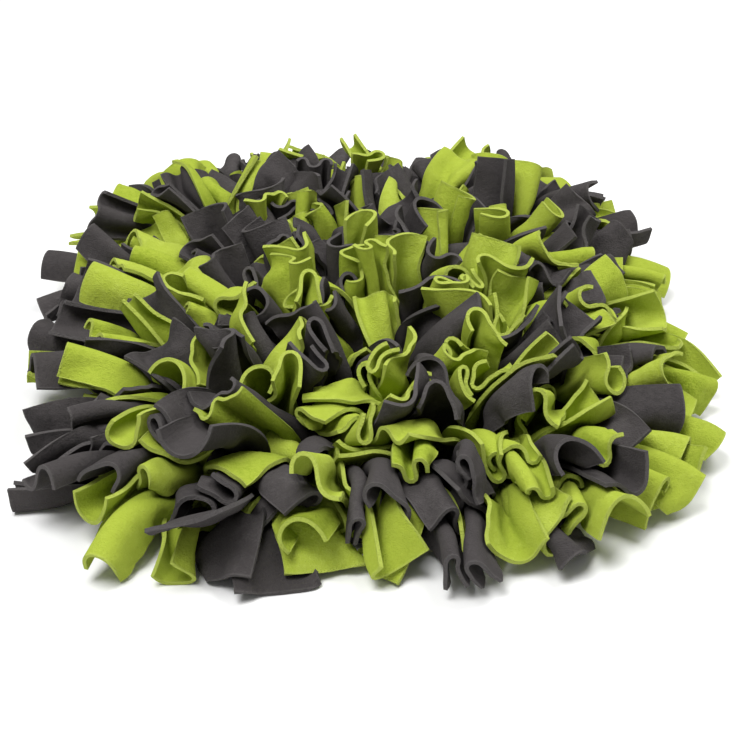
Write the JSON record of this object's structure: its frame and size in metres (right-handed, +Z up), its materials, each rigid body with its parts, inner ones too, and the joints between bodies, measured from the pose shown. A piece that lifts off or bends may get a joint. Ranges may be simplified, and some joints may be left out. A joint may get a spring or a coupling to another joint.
{
  "type": "snuffle mat",
  "caption": "Low domed pet mat: thick fleece tails in lime green and charcoal stand densely on a flat backing and spread down to the floor all round.",
  "frame": {"origin": "centre of the backing's flat underside, on the floor", "axes": "+X across the mat, along its rows of tails; +Y along its length, away from the picture's camera; +Z up"},
  "size_m": [0.3117, 0.3849, 0.0677],
  "materials": {
    "green_fleece": "brushed lime green fleece, matt",
    "charcoal_fleece": "brushed charcoal fleece, matt",
    "backing": "plain dark matt backing"
  },
  "bodies": {
    "root": {"backing": "backing", "charcoal_row_01": "charcoal_fleece", "charcoal_row_02": "charcoal_fleece", "charcoal_row_03": "charcoal_fleece", "charcoal_row_04": "charcoal_fleece", "charcoal_row_05": "charcoal_fleece", "charcoal_row_06": "charcoal_fleece", "charcoal_row_07": "charcoal_fleece", "charcoal_row_08": "charcoal_fleece", "charcoal_row_09": "charcoal_fleece", "charcoal_row_10": "charcoal_fleece", "charcoal_row_11": "charcoal_fleece", "charcoal_row_12": "charcoal_fleece", "charcoal_row_13": "charcoal_fleece", "charcoal_row_14": "charcoal_fleece", "charcoal_row_15": "charcoal_fleece", "charcoal_row_16": "charcoal_fleece", "charcoal_row_17": "charcoal_fleece", "charcoal_row_18": "charcoal_fleece", "charcoal_row_19": "charcoal_fleece", "charcoal_row_20": "charcoal_fleece", "charcoal_row_21": "charcoal_fleece", "green_row_01": "green_fleece", "green_row_02": "green_fleece", "green_row_03": "green_fleece", "green_row_04": "green_fleece", "green_row_05": "green_fleece", "green_row_06": "green_fleece", "green_row_07": "green_fleece", "green_row_08": "green_fleece", "green_row_09": "green_fleece", "green_row_10": "green_fleece", "green_row_11": "green_fleece", "green_row_12": "green_fleece", "green_row_13": "green_fleece", "green_row_14": "green_fleece", "green_row_15": "green_fleece", "green_row_16": "green_fleece", "green_row_17": "green_fleece", "green_row_18": "green_fleece", "green_row_19": "green_fleece", "green_row_20": "green_fleece", "green_row_21": "green_fleece"}
  },
  "joints": []
}
